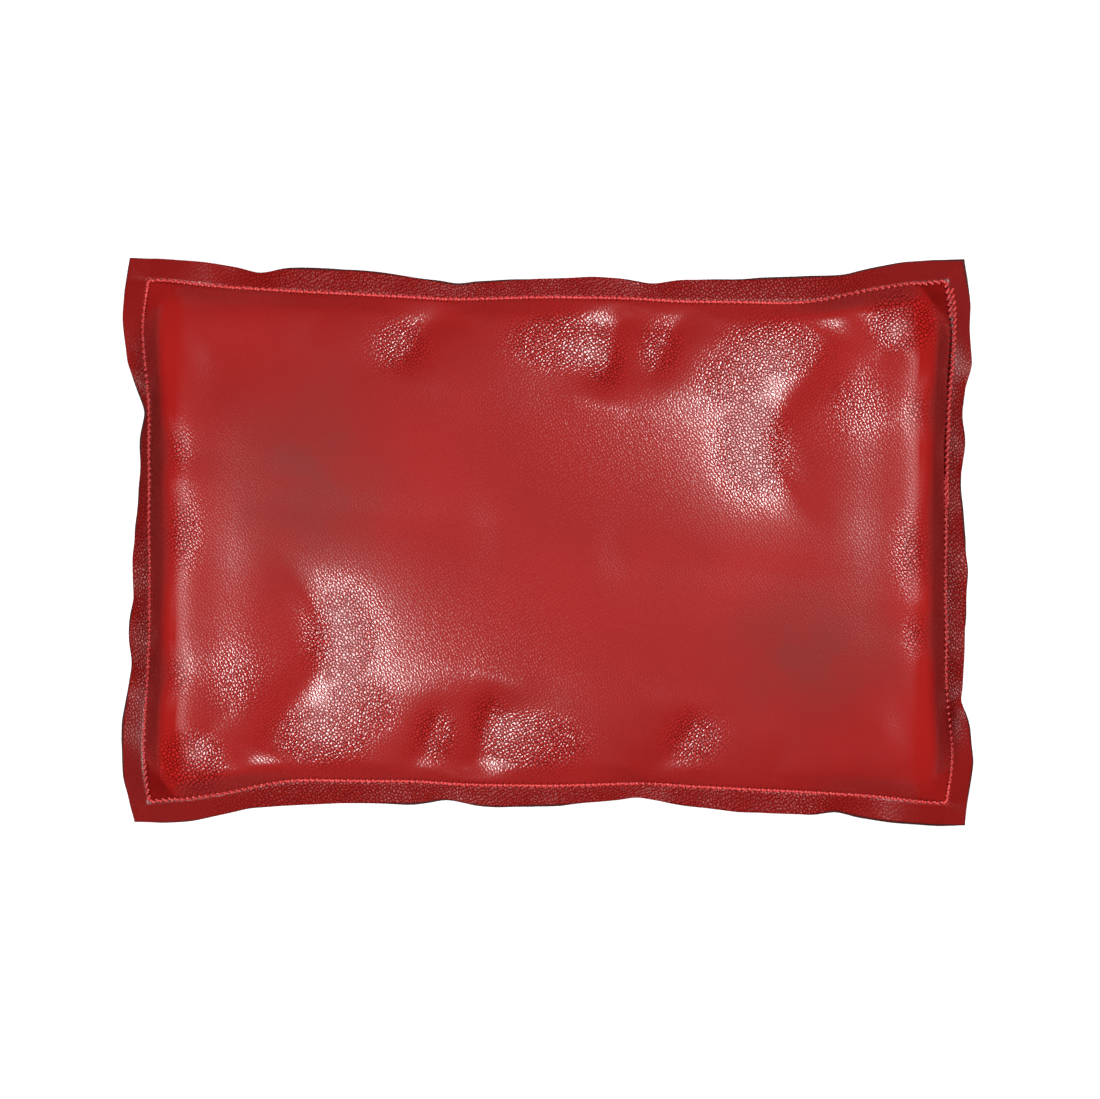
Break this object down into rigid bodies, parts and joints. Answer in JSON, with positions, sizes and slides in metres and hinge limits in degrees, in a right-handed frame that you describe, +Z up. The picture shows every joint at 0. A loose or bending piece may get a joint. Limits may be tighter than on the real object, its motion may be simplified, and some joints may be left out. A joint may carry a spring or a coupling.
{
  "type": "sandbag",
  "caption": "Low rectangular pillow sandbag in pebbled leather with a flat stitched margin, a weight for light stands and grip gear.",
  "frame": {"origin": "under the middle of the bag, on the surface that it lies on", "axes": "+X along the bag, towards the end that was closed after filling; +Y across it; +Z up"},
  "size_m": [0.449, 0.3, 0.058],
  "materials": {
    "leather": "satin",
    "thread": "matte",
    "liner": "matte",
    "sand": "matte"
  },
  "bodies": {
    "root": {"top_panel": "leather", "bottom_panel": "leather", "seam_needle_thread": "thread", "seam_bobbin_thread": "thread", "closing_needle_thread": "thread", "closing_bobbin_thread": "thread", "liner_upper": "liner", "liner_lower": "liner", "sand_fill": "sand"}
  },
  "joints": []
}
